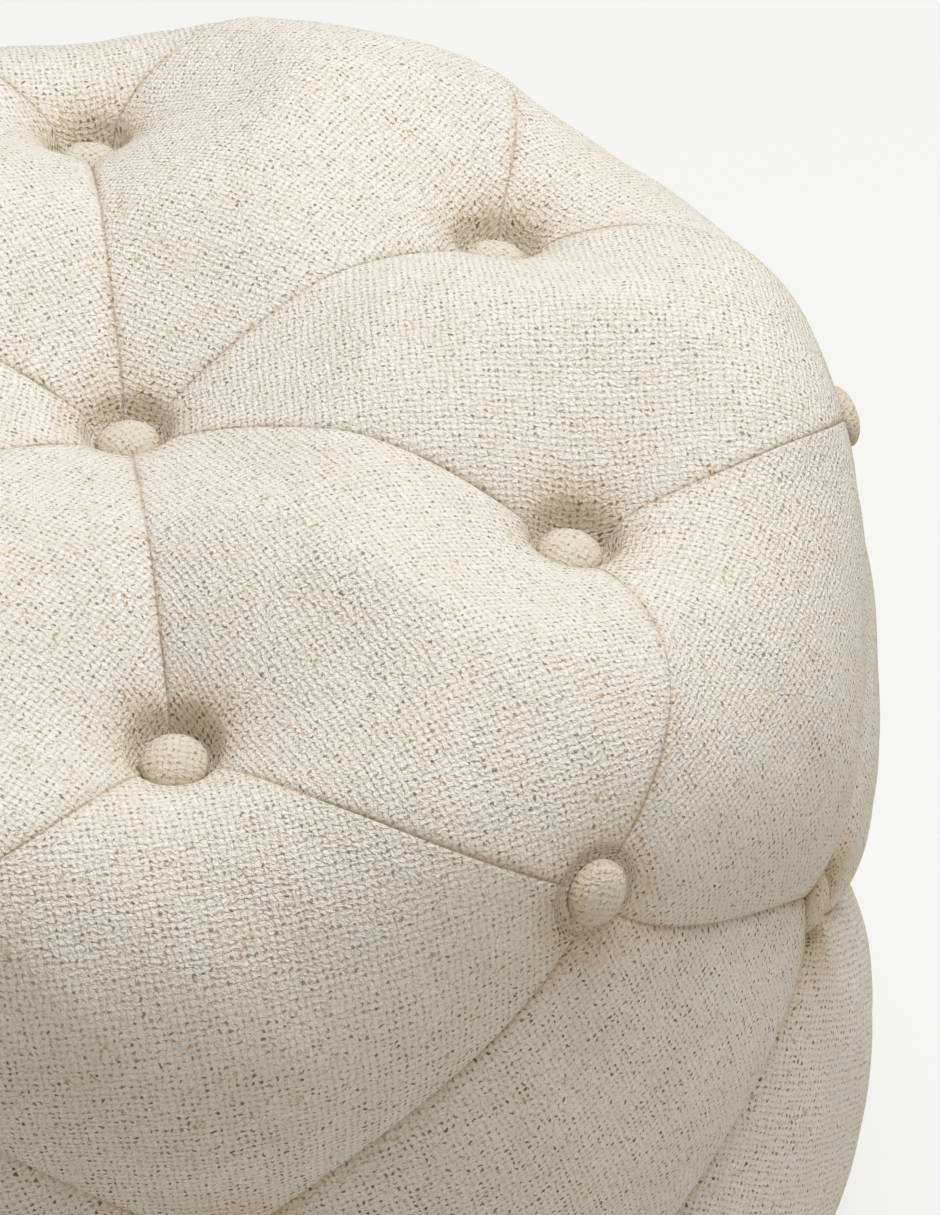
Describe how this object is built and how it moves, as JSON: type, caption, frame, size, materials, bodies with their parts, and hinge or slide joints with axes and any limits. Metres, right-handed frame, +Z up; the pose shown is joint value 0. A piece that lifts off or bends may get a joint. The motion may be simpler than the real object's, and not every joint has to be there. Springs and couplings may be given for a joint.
{
  "type": "round tufted pouf bench",
  "caption": "Round upholstered pouf bench, deep-buttoned over a wooden drum, with petal-shaped pillows on top and diamond pillows down the side, on low glides.",
  "frame": {"origin": "on the floor, straight under the centre button", "axes": "+Z up; a pleat of the top runs from the centre button towards -Y, and +X is to the right when that pleat faces the viewer"},
  "size_m": [0.6032, 0.6136, 0.438],
  "materials": {
    "cover_cloth": "matte chunky plain weave, cream with tan slubs",
    "button_cloth": "the cover's cloth, drawn tight",
    "fibre": "matte fibre batting",
    "foam": "open-cell foam",
    "plywood": "raw birch plywood",
    "softwood": "planed softwood",
    "bent_board": "raw bending plywood",
    "zinc_steel": "zinc plated",
    "pressed_steel": "plain pressed steel",
    "twine": "waxed nylon",
    "toggle_plastic": "moulded",
    "lining_cloth": "plain woven lining",
    "dust_cloth": "non-woven cambric",
    "glide_plastic": "moulded"
  },
  "bodies": {
    "root": {"seat_cover": "cover_cloth", "side_cover": "cover_cloth", "border_cover": "cover_cloth", "seat_fill": "fibre", "side_fill": "fibre", "border_fill": "fibre", "seat_foam": "foam", "side_foam": "foam", "top_board": "plywood", "base_board": "plywood", "posts": "softwood", "drum_wall": "bent_board", "frame_screws": "zinc_steel", "wall_nails": "zinc_steel", "button_cloths": "button_cloth", "button_shells": "pressed_steel", "button_backs": "pressed_steel", "button_twine": "twine", "twine_toggles": "toggle_plastic", "hem_lining": "lining_cloth", "hem_staples": "zinc_steel", "dust_cover": "dust_cloth", "dust_cover_staples": "zinc_steel", "glides": "glide_plastic", "glide_screws": "zinc_steel"}
  },
  "joints": []
}
